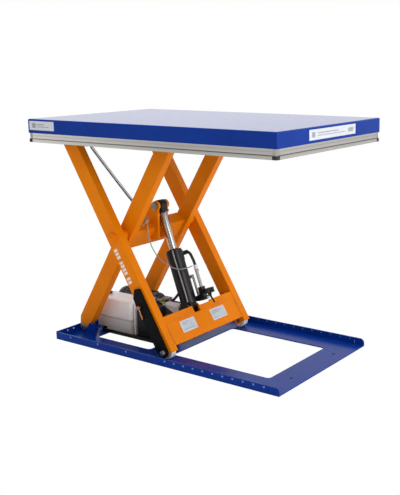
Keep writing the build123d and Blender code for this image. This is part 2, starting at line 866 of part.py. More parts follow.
with BuildPart() as deck_ribs:
    for y0 in (-340, -224, 224, 340):
        with BuildSketch(Plane.XY.offset(RAISED - DECK_T)):
            with Locations((40, y0)):
                Rectangle(1100 if abs(y0) > 300 else 1020, 5)
        extrude(amount=-18)
done(deck_ribs, "deck_ribs")

with BuildPart() as roller_rails:
    for y0 in (-194, 194):
        with BuildSketch(Plane.XY.offset(RAISED - DECK_T)):
            with Locations((265, y0)):
                Rectangle(660, 44)
        extrude(amount=-RAIL_T)
done(roller_rails, "roller_rails")

for name, sg in (("top_bracket_right", -1), ("top_bracket_left", 1)):
    with BuildPart() as bracket:
        for y_in, t in ((290, 8), (230, 8)):
            y_far = -y_in if sg < 0 else y_in + t
            with BuildSketch(at(y_far)):
                with Locations(T_A):
                    Circle(20)
                with BuildLine():
                    Polyline((-596, RAISED - DECK_T), (-526, RAISED - DECK_T), (-543, 962), (-579, 962), close=True)
                make_face()
                with Locations(T_A):
                    Circle(12.5, mode=Mode.SUBTRACT)
            extrude(amount=t)
    done(bracket, name)

with BuildPart() as top_pivot_pins:
    for sg in (-1, 1):
        with BuildSketch(at(sg * 228)):
            with Locations(T_A):
                Circle(12.5)
        extrude(amount=-sg * 72)
        with BuildSketch(at(sg * 298)):
            with Locations(T_A):
                Circle(17)
        extrude(amount=-sg * 6)
done(top_pivot_pins, "top_pivot_pins")

with BuildPart() as rim_labels:
    with BuildSketch(at(-HW + 0.4)):
        with Locations((-564, 982)):
            RectangleRounded(153, 39, 2)
    extrude(amount=0.4)
    with BuildSketch(Plane.YZ.offset(HL - 0.4)):
        with Locations((0, 980)):
            RectangleRounded(361, 40, 2)
    extrude(amount=0.4)
done(rim_labels, "rim_labels")

with BuildPart() as frame_hangers:
    for x0 in (-480, 0, 480):
        for sg in (-1, 1):
            with BuildSketch(Plane.YZ.offset(x0 - 15)):
                with BuildLine():
                    Polyline((sg * 368, 1005), (sg * 368, 931), (sg * 385, 931), (sg * 385, 935),
                             (sg * 372, 935), (sg * 372, 1005), close=True)
                make_face()
            extrude(amount=30)
done(frame_hangers, "frame_hangers")

# ---- safety frame hanging under the rim: web, groove and lower lip
def rail_profile(o):
    """profile across the rail: o is the outside face (positive), z up"""
    return [(o - 4.5, SAFE_Z1), (o - 4.5, 926), (o - 3.2, 925.4), (o - 3.2, 924), (o - 2, 923), (o - 2, SAFE_Z0),
            (o - 14, SAFE_Z0), (o - 14, 913), (o - 9, 915), (o - 9, 936), (o - 22, 936), (o - 22, 939),
            (o - 9, 939), (o - 9, SAFE_Z1)]


for name, sg in (("safety_rail_right", -1), ("safety_rail_left", 1)):
    with BuildPart() as rail:
        with BuildSketch(Plane.YZ.offset(-HL + 22)):
            with BuildLine():
                Polyline(*[(sg * p, z) for p, z in rail_profile(HW)], close=True)
            make_face()
        extrude(amount=PLAT_L - 44)
    done(rail, name)
for name, sg in (("safety_rail_rear", -1), ("safety_rail_front", 1)):
    with BuildPart() as rail:
        with BuildSketch(at(HW - 22)):
            with BuildLine():
                Polyline(*[(sg * p, z) for p, z in rail_profile(HL)], close=True)
            make_face()
        extrude(amount=PLAT_W - 44)
    done(rail, name)
with BuildPart() as corner_caps:
    for sx in (-1, 1):
        for sy in (-1, 1):
            with BuildSketch(Plane.XY.offset(SAFE_Z0)):
                with BuildLine():
                    Polyline((sx * (HL - 22), sy * (HW - 1.5)), (sx * (HL - 4), sy * (HW - 1.5)),
                             (sx * (HL - 1.5), sy * (HW - 4)), (sx * (HL - 1.5), sy * (HW - 22)),
                             (sx * (HL - 14), sy * (HW - 22)), (sx * (HL - 22), sy * (HW - 14)), close=True)
                make_face()
            extrude(amount=14.5)
            with BuildSketch(Plane.XY.offset(SAFE_Z0 + 14)):
                with BuildLine():
                    Polyline((sx * (HL - 22), sy * (HW - 4.5)), (sx * (HL - 6), sy * (HW - 4.5)),
                             (sx * (HL - 4.5), sy * (HW - 6)), (sx * (HL - 4.5), sy * (HW - 22)),
                             (sx * (HL - 9), sy * (HW - 22)), (sx * (HL - 9), sy * (HW - 9)),
                             (sx * (HL - 22), sy * (HW - 9)), close=True)
                make_face()
            extrude(amount=31)
done(corner_caps, "corner_caps")
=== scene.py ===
"""Looks of the scissor lift table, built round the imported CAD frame."""
import json
import math

import bpy
import bmesh
from mathutils import Matrix, Vector


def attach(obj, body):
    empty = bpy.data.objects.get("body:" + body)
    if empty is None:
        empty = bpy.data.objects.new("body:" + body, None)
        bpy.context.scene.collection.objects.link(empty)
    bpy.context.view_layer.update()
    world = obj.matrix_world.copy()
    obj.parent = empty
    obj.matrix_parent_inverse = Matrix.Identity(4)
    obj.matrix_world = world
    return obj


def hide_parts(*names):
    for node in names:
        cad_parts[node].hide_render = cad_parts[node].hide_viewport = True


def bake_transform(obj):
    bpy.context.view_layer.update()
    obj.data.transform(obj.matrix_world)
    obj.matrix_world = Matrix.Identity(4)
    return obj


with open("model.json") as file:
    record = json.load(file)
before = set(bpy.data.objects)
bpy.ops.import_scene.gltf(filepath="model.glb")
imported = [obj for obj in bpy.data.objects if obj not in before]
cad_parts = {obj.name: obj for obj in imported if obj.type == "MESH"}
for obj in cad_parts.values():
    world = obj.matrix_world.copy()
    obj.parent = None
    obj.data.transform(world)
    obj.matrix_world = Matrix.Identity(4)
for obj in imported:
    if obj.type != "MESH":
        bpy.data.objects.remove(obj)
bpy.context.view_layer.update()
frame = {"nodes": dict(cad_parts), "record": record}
N = frame["nodes"]

# ------------------------------------------------------------------ shared geometry (metres)
ANG = math.radians(58.74)
SN, CS = math.sin(ANG), math.cos(ANG)
MX, MZ = -0.277988, 0.503
H = 0.545962


def A(d, n, y=0.0):
    d, n = d / 1000, n / 1000
    return Vector((MX + d * CS + n * SN, y / 1000, MZ - d * SN + n * CS))


def B(d, n, y=0.0):
    d, n = d / 1000, n / 1000
    return Vector((MX + d * CS - n * SN, y / 1000, MZ + d * SN + n * CS))


P = A(408, -21.5)
Q = B(104, 30)
U = (Q - P).normalized()
V = Vector((U.z, 0, -U.x))


def C(s, v, y=0.0):
    return P + U * (s / 1000) + V * (v / 1000) + Vector((0, y / 1000, 0))


def mm(*p):
    return Vector([c / 1000 for c in p])


# ------------------------------------------------------------------ materials
def new_mat(name):
    m = bpy.data.materials.new(name)
    m.use_nodes = True
    nt = m.node_tree
    for n in list(nt.nodes):
        nt.nodes.remove(n)
    out = nt.nodes.new("ShaderNodeOutputMaterial")
    bsdf = nt.nodes.new("ShaderNodeBsdfPrincipled")
    nt.links.new(bsdf.outputs[0], out.inputs[0])
    return m, nt, bsdf


def noise(nt, scale, detail=3.0, rough=0.5, stretch=None):
    tc = nt.nodes.new("ShaderNodeTexCoord")
    no = nt.nodes.new("ShaderNodeTexNoise")
    no.inputs["Scale"].default_value = scale
    no.inputs["Detail"].default_value = detail
    no.inputs["Roughness"].default_value = rough
    if stretch:
        mp = nt.nodes.new("ShaderNodeMapping")
        mp.inputs["Scale"].default_value = stretch
        nt.links.new(tc.outputs["Object"], mp.inputs["Vector"])
        nt.links.new(mp.outputs["Vector"], no.inputs["Vector"])
    else:
        nt.links.new(tc.outputs["Object"], no.inputs["Vector"])
    return no


def ramp(nt, src, stops):
    r = nt.nodes.new("ShaderNodeValToRGB")
    els = r.color_ramp.elements
    els[0].position, els[0].color = stops[0][0], tuple(stops[0][1]) + (1,)
    els[1].position, els[1].color = stops[-1][0], tuple(stops[-1][1]) + (1,)
    for pos, col in stops[1:-1]:
        e = els.new(pos)
        e.color = tuple(col) + (1,)
    nt.links.new(src, r.inputs["Fac"])
    return r


def rough_ramp(nt, src, lo, hi):
    r = nt.nodes.new("ShaderNodeMapRange")
    r.inputs["To Min"].default_value = lo
    r.inputs["To Max"].default_value = hi
    nt.links.new(src, r.inputs["Value"])
    return r


def bump(nt, src, strength, dist=0.0005):
    b = nt.nodes.new("ShaderNodeBump")
    b.inputs["Strength"].default_value = strength
    b.inputs["Distance"].default_value = dist
    nt.links.new(src, b.inputs["Height"])
    return b


def surface(name, c1, c2, rough=(0.3, 0.45), metallic=0.0, grain=60.0, orange_peel=(220.0, 0.08, 0.0004),
            coat=0.0, coat_rough=0.1, stretch=None, specular=None):
    m, nt, b = new_mat(name)
    big = noise(nt, grain, 4.0, 0.6, stretch)
    rp = ramp(nt, big.outputs["Fac"], [(0.3, c1), (0.7, c2)])
    nt.links.new(rp.outputs["Color"], b.inputs["Base Color"])
    small = noise(nt, grain * 3.1, 2.0, 0.5, stretch)
    rr = rough_ramp(nt, small.outputs["Fac"], rough[0], rough[1])
    nt.links.new(rr.outputs["Result"], b.inputs["Roughness"])
    b.inputs["Metallic"].default_value = metallic
    if coat:
        b.inputs["Coat Weight"].default_value = coat
        b.inputs["Coat Roughness"].default_value = coat_rough
    if specular is not None:
        b.inputs["Specular IOR Level"].default_value = specular
    if orange_peel:
        fine = noise(nt, orange_peel[0], 2.0)
        bp = bump(nt, fine.outputs["Fac"], orange_peel[1], orange_peel[2])
        nt.links.new(bp.outputs["Normal"], b.inputs["Normal"])
    return m


M = {}
M["blue_paint"] = surface("blue_paint", (0.0010, 0.031, 0.26), (0.0014, 0.038, 0.30), (0.20, 0.28), 0, 7.0,
                          (60.0, 0.03, 0.0001), specular=0.12)
# flange lips: a glossier copy of the blue paint in a lighter blue, the lighter blue being painted highlight
M["lip_painted_highlight"] = surface("lip_painted_highlight", (0.0012, 0.034, 0.28), (0.0020, 0.046, 0.35), (0.10, 0.16), 0, 9.0,
                         (200.0, 0.02, 0.0001), coat=1.0, coat_rough=0.05, specular=0.5)
# deck top: a glossier copy of the blue paint in a lighter blue, the lighter blue being painted reflection
M["deck_top_painted_sheen"] = surface("deck_top_painted_sheen", (0.0012, 0.034, 0.28), (0.0020, 0.046, 0.35), (0.12, 0.18), 0, 9.0,
                          (200.0, 0.02, 0.0001), specular=0.5, coat=0.08, coat_rough=0.04)
M["orange_paint"] = surface("orange_paint", (0.82, 0.205, 0.0006), (0.89, 0.240, 0.0009), (0.34, 0.46), 0, 8.0,
                            (260.0, 0.10, 0.0003), specular=0.07)
M["aluminium"] = surface("aluminium", (0.36, 0.335, 0.31), (0.46, 0.43, 0.40), (0.34, 0.48), 0.85, 14.0,
                         (420.0, 0.10, 0.0002), stretch=(0.06, 0.06, 3.0))
M["black_cap"] = surface("black_cap", (0.008, 0.008, 0.009), (0.014, 0.014, 0.015), (0.42, 0.55), 0, 70.0,
                         (900.0, 0.2, 0.0002))
M["black_paint"] = surface("black_paint", (0.0025, 0.0026, 0.003), (0.006, 0.006, 0.007), (0.30, 0.44), 0, 20.0,
                           (300.0, 0.12, 0.0003), coat=0.1, coat_rough=0.2, specular=0.25)
M["prop_paint"] = surface("prop_paint", (0.0025, 0.0030, 0.0035), (0.006, 0.007, 0.008), (0.40, 0.55), 0, 20.0,
                          (300.0, 0.12, 0.0003), specular=0.07)
# light grey for the signal cable, also used for the strip on the cylinder barrel, which is a painted highlight
M["wire_and_painted_highlight"] = surface("wire_and_painted_highlight", (0.26, 0.27, 0.27), (0.40, 0.41, 0.41), (0.22, 0.34), 0, 120.0,
                          (900.0, 0.12, 0.0002))
M["mark_white"] = surface("mark_white", (0.78, 0.74, 0.68), (0.90, 0.86, 0.80), (0.40, 0.55), 0, 90.0,
                          (500.0, 0.08, 0.0002))
M["wire_blue"] = surface("wire_blue", (0.015, 0.02, 0.22), (0.03, 0.04, 0.32), (0.38, 0.5), 0, 120.0,
                         (900.0, 0.15, 0.0002))
M["plug_blue"] = surface("plug_blue", (0.10, 0.20, 0.52), (0.17, 0.28, 0.60), (0.30, 0.42), 0, 120.0,
                         (900.0, 0.10, 0.0002))
M["valve_metal"] = surface("valve_metal", (0.006, 0.008, 0.007), (0.02, 0.022, 0.021), (0.35, 0.55), 0.2, 90.0,
                           (500.0, 0.2, 0.0003))
M["zinc"] = surface("zinc", (0.42, 0.42, 0.40), (0.58, 0.57, 0.53), (0.25, 0.42), 0.95, 90.0, (500.0, 0.12, 0.0002))
M["steel"] = surface("steel", (0.20, 0.20, 0.20), (0.32, 0.32, 0.31), (0.32, 0.5), 0.9, 120.0, (600.0, 0.15, 0.0002))
M["chrome"] = surface("chrome", (0.40, 0.38, 0.37), (0.50, 0.48, 0.46), (0.10, 0.18), 1.0, 40.0, (60.0, 0.004, 0.00002))
M["roller_white"] = surface("roller_white", (0.70, 0.70, 0.66), (0.82, 0.82, 0.79), (0.42, 0.56), 0, 60.0,
                            (700.0, 0.12, 0.0002))
M["hose_rubber"] = surface("hose_rubber", (0.009, 0.009, 0.010), (0.018, 0.018, 0.018), (0.45, 0.62), 0, 120.0,
                           (900.0, 0.25, 0.0003))
M["label"] = surface("label", (0.50, 0.55, 0.60), (0.60, 0.64, 0.67), (0.38, 0.48), 0, 40.0, (700.0, 0.05, 0.0001))
M["rim_label"] = surface("rim_label", (0.62, 0.64, 0.70), (0.70, 0.72, 0.77), (0.35, 0.45), 0, 40.0, (700.0, 0.05, 0.0001))
M["cable_grey"] = surface("cable_grey", (0.10, 0.105, 0.11), (0.16, 0.165, 0.17), (0.4, 0.55), 0, 150.0,
                          (900.0, 0.15, 0.0002))
M["cord_teal"] = surface("cord_teal", (0.012, 0.016, 0.017), (0.030, 0.036, 0.036), (0.38, 0.5), 0, 150.0,
                         (900.0, 0.15, 0.0002))
M["box_grey"] = surface("box_grey", (0.40, 0.41, 0.40), (0.47, 0.48, 0.46), (0.42, 0.55), 0, 60.0, (800.0, 0.2, 0.0002))
M["motor_grey"] = surface("motor_grey", (0.030, 0.031, 0.034), (0.055, 0.056, 0.060), (0.38, 0.52), 0.1, 40.0,
                          (300.0, 0.15, 0.0003), coat=0.15, coat_rough=0.25)
M["white_plate"] = surface("white_plate", (0.86, 0.86, 0.86), (0.92, 0.92, 0.92), (0.35, 0.5), 0, 30.0,
                           (300.0, 0.1, 0.0003))
M["copper"] = surface("copper", (0.45, 0.16, 0.06), (0.62, 0.26, 0.11), (0.3, 0.45), 0.9, 120.0, (500.0, 0.15, 0.0002))
M["clip_tan"] = surface("clip_tan", (0.42, 0.24, 0.10), (0.56, 0.36, 0.18), (0.4, 0.55), 0, 80.0, (700.0, 0.1, 0.0002))
M["earth"] = surface("earth", (0.36, 0.52, 0.02), (0.55, 0.60, 0.03), (0.4, 0.5), 0, 30.0, (700.0, 0.1, 0.0002))
M["border"] = surface("border", (0.86, 0.87, 0.88), (0.90, 0.91, 0.92), (0.4, 0.5), 0, 40.0, (700.0, 0.05, 0.0001))
M["screen_grey"] = surface("screen_grey", (0.28, 0.30, 0.34), (0.36, 0.38, 0.42), (0.4, 0.5), 0, 90.0,
                           (700.0, 0.05, 0.0001))
# weld colour: dark orange for the weld beads, also used for the bead on the crossbeam fold as painted crease shade
M["weld"] = surface("weld", (0.60, 0.17, 0.001), (0.74, 0.22, 0.002), (0.34, 0.5), 0, 60.0, (180.0, 0.6, 0.0008))


def aluminium_profile():
    """drawn aluminium: stripes that follow the profile's height, with painted shade in the groove and a painted
    highlight along the top edge, and painted light that makes it brighter towards the left
    """
    m, nt, b = new_mat("aluminium_profile")
    tc = nt.nodes.new("ShaderNodeTexCoord")
    sep = nt.nodes.new("ShaderNodeSeparateXYZ")
    nt.links.new(tc.outputs["Object"], sep.inputs[0])
    no = noise(nt, 14.0, 3.0, 0.5, (0.06, 0.06, 3.0))
    mr = nt.nodes.new("ShaderNodeMapRange")
    mr.inputs["From Min"].default_value = 0.909
    mr.inputs["From Max"].default_value = 0.954
    nt.links.new(sep.outputs["Z"], mr.inputs["Value"])
    # stripes up the profile's height: the dark stripes are painted shade in the grooves, the light top is a painted
    # highlight
    stripes_with_painted_light = ramp(nt, mr.outputs["Result"], [(0.0, (0.42, 0.41, 0.39)), (0.06, (0.60, 0.58, 0.54)), (0.28, (0.52, 0.50, 0.47)),
                                          (0.31, (0.16, 0.155, 0.15)), (0.36, (0.18, 0.175, 0.17)), (0.39, (0.62, 0.60, 0.57)),
                                          (0.62, (0.54, 0.52, 0.49)), (0.66, (0.40, 0.385, 0.365)), (0.70, (0.56, 0.54, 0.51)),
                                          (1.0, (0.72, 0.70, 0.66))])
    # painted light: the colour grows brighter towards the left along the profile
    painted_light_along_x = nt.nodes.new("ShaderNodeMapRange")
    painted_light_along_x.inputs["From Min"].default_value = -0.65
    painted_light_along_x.inputs["From Max"].default_value = 0.15
    painted_light_along_x.inputs["To Min"].default_value = 1.38
    painted_light_along_x.inputs["To Max"].default_value = 0.80
    nt.links.new(sep.outputs["X"], painted_light_along_x.inputs["Value"])
    grain_and_painted_light = nt.nodes.new("ShaderNodeMath"); grain_and_painted_light.operation = "MULTIPLY_ADD"
    grain_and_painted_light.inputs[1].default_value = 0.10
    nt.links.new(no.outputs["Fac"], grain_and_painted_light.inputs[0])
    nt.links.new(painted_light_along_x.outputs["Result"], grain_and_painted_light.inputs[2])
    sc = nt.nodes.new("ShaderNodeVectorMath"); sc.operation = "SCALE"
    nt.links.new(stripes_with_painted_light.outputs["Color"], sc.inputs[0])
    nt.links.new(grain_and_painted_light.outputs[0], sc.inputs["Scale"])
    nt.links.new(sc.outputs[0], b.inputs["Base Color"])
    b.inputs["Metallic"].default_value = 0.7
    rr = rough_ramp(nt, no.outputs["Fac"], 0.32, 0.46)
    nt.links.new(rr.outputs["Result"], b.inputs["Roughness"])
    fine = noise(nt, 420.0, 2.0, 0.5, (0.06, 0.06, 3.0))
    bp = bump(nt, fine.outputs["Fac"], 0.08, 0.0002)
    nt.links.new(bp.outputs["Normal"], b.inputs["Normal"])
    return m


def tank_material():
    m, nt, b = new_mat("tank_plastic")
    tc = nt.nodes.new("ShaderNodeTexCoord")
    sep = nt.nodes.new("ShaderNodeSeparateXYZ")
    nt.links.new(tc.outputs["Object"], sep.inputs[0])
    no = noise(nt, 14.0, 3.0)
    add = nt.nodes.new("ShaderNodeMath"); add.operation = "MULTIPLY_ADD"
    add.inputs[1].default_value = 0.010
    nt.links.new(no.outputs["Fac"], add.inputs[0])
    nt.links.new(sep.outputs["Z"], add.inputs[2])
    mr = nt.nodes.new("ShaderNodeMapRange")
    mr.inputs["From Min"].default_value = 0.010
    mr.inputs["From Max"].default_value = 0.175
    nt.links.new(add.outputs[0], mr.inputs["Value"])
    rp = ramp(nt, mr.outputs["Result"], [(0.0, (0.60, 0.59, 0.57)), (0.38, (0.66, 0.65, 0.63)), (0.42, (0.44, 0.43, 0.42)),
                                        (0.47, (0.88, 0.86, 0.83)), (1.0, (0.93, 0.91, 0.88))])
    nt.links.new(rp.outputs["Color"], b.inputs["Base Color"])
    b.inputs["Subsurface Weight"].default_value = 0.25
    b.inputs["Subsurface Radius"].default_value = (0.012, 0.012, 0.011)
    b.inputs["Subsurface Scale"].default_value = 1.0
    rr = rough_ramp(nt, no.outputs["Fac"], 0.30, 0.42)
    nt.links.new(rr.outputs["Result"], b.inputs["Roughness"])
    fine = noise(nt, 500.0)
    bp = bump(nt, fine.outputs["Fac"], 0.08, 0.0002)
    nt.links.new(bp.outputs["Normal"], b.inputs["Normal"])
    return m


def tube_material():
    m, nt, b = new_mat("clear_tube")
    no = noise(nt, 160.0, 3.0)
    rp = ramp(nt, no.outputs["Fac"], [(0.3, (0.42, 0.42, 0.40)), (0.7, (0.66, 0.66, 0.63))])
    nt.links.new(rp.outputs["Color"], b.inputs["Base Color"])
    rr = rough_ramp(nt, no.outputs["Fac"], 0.12, 0.25)
    nt.links.new(rr.outputs["Result"], b.inputs["Roughness"])
    b.inputs["Transmission Weight"].default_value = 0.35
    return m


M["alu_profile"] = aluminium_profile()
M["lid_white"] = surface("lid_white", (0.66, 0.66, 0.66), (0.76, 0.76, 0.77), (0.4, 0.52), 0, 60.0, (800.0, 0.15, 0.0002))
M["box_dark"] = surface("box_dark", (0.060, 0.060, 0.075), (0.100, 0.098, 0.115), (0.42, 0.55), 0, 60.0, (800.0, 0.2, 0.0002))
M["tank_plastic"] = tank_material()
M["clear_tube"] = tube_material()

for node, obj in N.items():
    slot_name = None
    for sp in frame["record"]["subparts"]:
        if sp["node"] == node:
            slot_name = sp["material_slot"]
    mat = M[slot_name]
    if node == "rim_labels":
        mat = M["rim_label"]
    if node == "platform_deck":
        mat = M["deck_top_painted_sheen"]
    if node == "maintenance_prop":
        mat = M["prop_paint"]
    if node == "prop_knob":
        mat = M["copper"]
    if node == "cable_clip":
        mat = M["clip_tan"]
    if node == "rod_pin_heads":
        mat = M["steel"]
    if node == "foot_pin":
        mat = M["black_paint"]
    if slot_name == "aluminium":
        mat = M["alu_profile"]
    obj.data.materials.clear()
    obj.data.materials.append(mat)
    if node == "corner_caps":
        # only the lower corner piece is black, the upper one is bare metal
        obj.data.materials.append(M["aluminium"])
        for poly in obj.data.polygons:
            poly.material_index = 1 if poly.center.z > 0.9245 else 0
    if node == "terminal_box":
        obj.data.materials.append(M["box_dark"])
        obj.data.materials.append(M["lid_white"])
        for poly in obj.data.polygons:
            poly.material_index = 2 if poly.center.z > 0.128 else 1
    if node == "platform_deck":
        # the rim is painted as the deck is, but only the flat top is polished by use; its lighter blue is painted
        # reflection
        obj.data.materials.append(M["blue_paint"])
        for poly in obj.data.polygons:
            poly.material_index = 0 if poly.normal.z > 0.9 and poly.center.z > 1.005 else 1


# ------------------------------------------------------------------ mesh helpers
def mesh_obj(name, verts, faces, mat, smooth=False):
    me = bpy.data.meshes.new(name)
    me.from_pydata([tuple(v) for v in verts], [], faces)
    me.update()
    ob = bpy.data.objects.new(name, me)
    bpy.context.scene.collection.objects.link(ob)
    me.materials.append(mat)
    if smooth:
        for p in me.polygons:
            p.use_smooth = True
    return ob


def frames_along(pts):
    """a parallel-transported normal at each point of a path"""
    t = []
    for i in range(len(pts)):
        a = pts[max(i - 1, 0)]
        b = pts[min(i + 1, len(pts) - 1)]
        t.append((b - a).normalized())
    ref = Vector((0, 1, 0)) if abs(t[0].y) < 0.9 else Vector((1, 0, 0))
    nrm = (ref - t[0] * ref.dot(t[0])).normalized()
    out = [(t[0], nrm)]
    for i in range(1, len(pts)):
        q = t[i - 1].rotation_difference(t[i])
        nrm = (q @ nrm)
        nrm = (nrm - t[i] * nrm.dot(t[i])).normalized()
        out.append((t[i], nrm))
    return out


def tube_mesh(name, pts, radius, mat, sides=14, caps=True):
    fr = frames_along(pts)
    verts, faces = [], []
    for p, (t, n) in zip(pts, fr):
        b = t.cross(n)
        for k in range(sides):
            a = 2 * math.pi * k / sides
            verts.append(p + (n * math.cos(a) + b * math.sin(a)) * radius)
    for i in range(len(pts) - 1):
        for k in range(sides):
            a, b2 = i * sides + k, i * sides + (k + 1) % sides
            faces.append((a, a + sides, b2 + sides, b2))
    if caps:
        faces.append(tuple(range(sides)))
        faces.append(tuple(reversed(range((len(pts) - 1) * sides, len(pts) * sides))))
    ob = mesh_obj(name, verts, faces, mat, True)
    return ob


def nurbs_points(route, resolution=24):
    """points read from a smooth spline whose control points are the route"""
    cu = bpy.data.curves.new("route", "CURVE")
    cu.dimensions = "3D"
    sp = cu.splines.new("NURBS")
    sp.points.add(len(route) - 1)
    for p, r in zip(sp.points, route):
        p.co = (r[0], r[1], r[2], 1.0)
    sp.order_u = 3
    sp.use_endpoint_u = True
    cu.resolution_u = resolution
    ob = bpy.data.objects.new("route", cu)
    bpy.context.scene.collection.objects.link(ob)
    bpy.context.view_layer.update()
    me = bpy.data.meshes.new_from_object(ob)
    pts = [v.co.copy() for v in me.vertices]
    bpy.data.objects.remove(ob)
    bpy.data.meshes.remove(me)
    return pts


def path_len(pts):
    return sum((b - a).length for a, b in zip(pts, pts[1:]))


def resample(pts, n):
    """n evenly spaced points along a path"""
    cum = [0.0]
    for a, b in zip(pts, pts[1:]):
        cum.append(cum[-1] + (b - a).length)
    out, j = [], 0
    for i in range(n):
        s = cum[-1] * i / (n - 1)
        while j < len(pts) - 2 and cum[j + 1] < s:
            j += 1
        seg = cum[j + 1] - cum[j]
        f = 0 if seg == 0 else (s - cum[j]) / seg
        out.append(pts[j].lerp(pts[j + 1], min(max(f, 0), 1)))
    return out


def lathe(name, origin, axis, profile, mat, sides=28, bevel_smooth=True):
    """a turned piece: profile is [(along axis, radius), ...] in metres"""
    axis = axis.normalized()
    ref = Vector((0, 1, 0)) if abs(axis.y) < 0.9 else Vector((1, 0, 0))
    n = (ref - axis * ref.dot(axis)).normalized()
    b = axis.cross(n)
    verts, faces = [], []
    for h, r in profile:
        for k in range(sides):
            a = 2 * math.pi * k / sides
            verts.append(origin + axis * h + (n * math.cos(a) + b * math.sin(a)) * r)
    for i in range(len(profile) - 1):
        for k in range(sides):
            a, c = i * sides + k, i * sides + (k + 1) % sides
            faces.append((a, c, c + sides, a + sides))
    faces.append(tuple(reversed(range(sides))))
    faces.append(tuple(range((len(profile) - 1) * sides, len(profile) * sides)))
    ob = mesh_obj(name, verts, faces, mat, False)
    if bevel_smooth:
        for p in ob.data.polygons:
            if len(p.vertices) == 4:
                p.use_smooth = True
        md = ob.modifiers.new("split", "EDGE_SPLIT")
        md.split_angle = math.radians(35)
    return ob


def hexbolt(name, origin, axis, r, h, mat):
    """hexagon head with a chamfered crown and a washer under it"""
    w = 1.28 * r
    ob = lathe(name, origin, axis, [(0, w), (0.0014, w), (0.0014, r), (h * 0.82, r), (h, r * 0.86)], mat, 6, False)
    return ob


def join(name, obs):
    bpy.ops.object.select_all(action="DESELECT")
    for o in obs:
        for md in list(o.modifiers):
            bpy.context.view_layer.objects.active = o
            bpy.ops.object.modifier_apply(modifier=md.name)
    for o in obs:
        o.select_set(True)
    bpy.context.view_layer.objects.active = obs[0]
    bpy.ops.object.join()
    ob = bpy.context.view_layer.objects.active
    ob.name = name
    ob.data.name = name
    bpy.ops.object.select_all(action="DESELECT")
    return ob


# ------------------------------------------------------------------ camera, first of all
cam = bpy.data.cameras.new("camera")
cam_ob = bpy.data.objects.new("camera", cam)
bpy.context.scene.collection.objects.link(cam_ob)
F_PX, CX, CY = 851.91, 252.53, 219.25
YAW, PITCH, ROLL = math.radians(34.95), math.radians(10.90), math.radians(-0.43)
back = Vector((math.sin(YAW) * math.cos(PITCH), -math.cos(YAW) * math.cos(PITCH), math.sin(PITCH)))
fwd = -back
right = fwd.cross(Vector((0, 0, 1))).normalized()
up = right.cross(fwd)
r2 = right * math.cos(ROLL) + up * math.sin(ROLL)
u2 = -right * math.sin(ROLL) + up * math.cos(ROLL)
rot = Matrix((r2, u2, back)).transposed()
cam_ob.matrix_world = Matrix.Translation(mm(2289.53, -2899.27, 1274.86)) @ rot.to_4x4()
cam.sensor_width = 36.0
cam.sensor_fit = "AUTO"
cam.lens = F_PX * 36.0 / 495.0
cam.shift_x = (200 - CX) / 495.0
cam.shift_y = (CY - 247.5) / 495.0
cam.clip_end = 60
bpy.context.scene.camera = cam_ob

# ------------------------------------------------------------------ cords
# curly cord from the bracket on the near outer arm to the clip on the inner crossbeam
CORD_ROUTE = [A(-455, -8, -165), mm(-388, -134, 722), mm(-258, -101, 572)]
core = resample(nurbs_points(CORD_ROUTE, 64), 1500)
fr = frames_along(core)
TURNS, COIL_R, WIRE = 66, 0.0056, 0.0019
helix = []
for i, (p, (t, n)) in enumerate(zip(core, fr)):
    f = i / (len(core) - 1)
    b = t.cross(n)
    ease = min(1.0, f / 0.05, (1 - f) / 0.05)
    rad = COIL_R * ease
    a = 2 * math.pi * TURNS * f
    helix.append(p + (n * math.cos(a) + b * math.sin(a)) * rad)
cord = tube_mesh("curly_cord_coils", helix, WIRE, M["cord_teal"], 8)
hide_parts("curly_cord")
path_len(helix)
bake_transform(cord)

# thin signal cable hanging from the clip to the valve side of the cylinder
WIRE_ROUTE = [(-244, -98, 536), (-243, -97, 482), (-227, -91, 426), (-193, -83, 378), (-153, -70, 350),
              (-110, -56, 334), (-77, -40, 341), (-69, -8, 344), (-89, 24, 339), (-110, 46, 330)]
wire_pts = nurbs_points([mm(*p) for p in WIRE_ROUTE], 20)
wire = tube_mesh("signal_cable_jacket", wire_pts, 0.0025, M["wire_and_painted_highlight"], 12)
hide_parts("signal_cable")
tuple(wire_pts[0])
path_len(wire_pts)
[tuple(p) for p in wire_pts]
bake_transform(wire)

# pressure hose from the pump to the far rod lug
HOSE_ROUTE = [(-244.5, 55, 136.7), (-205, 55, 168), (-170, 54, 238), (-196, 53, 330), (-228, 51, 425),
              (-242, 50, 505), (-258, 50, 560)]
hose_pts = nurbs_points([mm(*p) for p in HOSE_ROUTE], 20)
hose = tube_mesh("pressure_hose_jacket", hose_pts, 0.0064, M["hose_rubber"], 18)
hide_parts("pressure_hose")
tuple(hose_pts[0])
path_len(hose_pts)
[tuple(p) for p in hose_pts]
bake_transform(hose)

# ------------------------------------------------------------------ fitted details, each riding on its body
def put(ob, body):
    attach(ob, body)
    return ob


def slab(name, corners, n, t, mat, edge=0.0004):
    """a thin plate with chamfered edges: corners in order on the base plane, n its outward normal, t its thickness"""
    n = n.normalized()
    c = sum(corners, Vector()) / len(corners)
    k = len(corners)
    ring0 = list(corners)
    ring1 = [p + n * max(t - edge, t * 0.5) for p in corners]
    ring2 = [p + (c - p).normalized() * edge + n * t for p in corners]
    verts = ring0 + ring1 + ring2
    faces = []
    for r in range(2):
        for i in range(k):
            j = (i + 1) % k
            faces.append((r * k + i, r * k + j, (r + 1) * k + j, (r + 1) * k + i))
    faces.append(tuple(range(2 * k, 3 * k)))
    faces.append(tuple(reversed(range(k))))
    ob = mesh_obj(name, verts, faces, mat)
    bm = bmesh.new()
    bm.from_mesh(ob.data)
    bmesh.ops.recalc_face_normals(bm, faces=bm.faces)
    bm.to_mesh(ob.data)
    bm.free()
    return ob


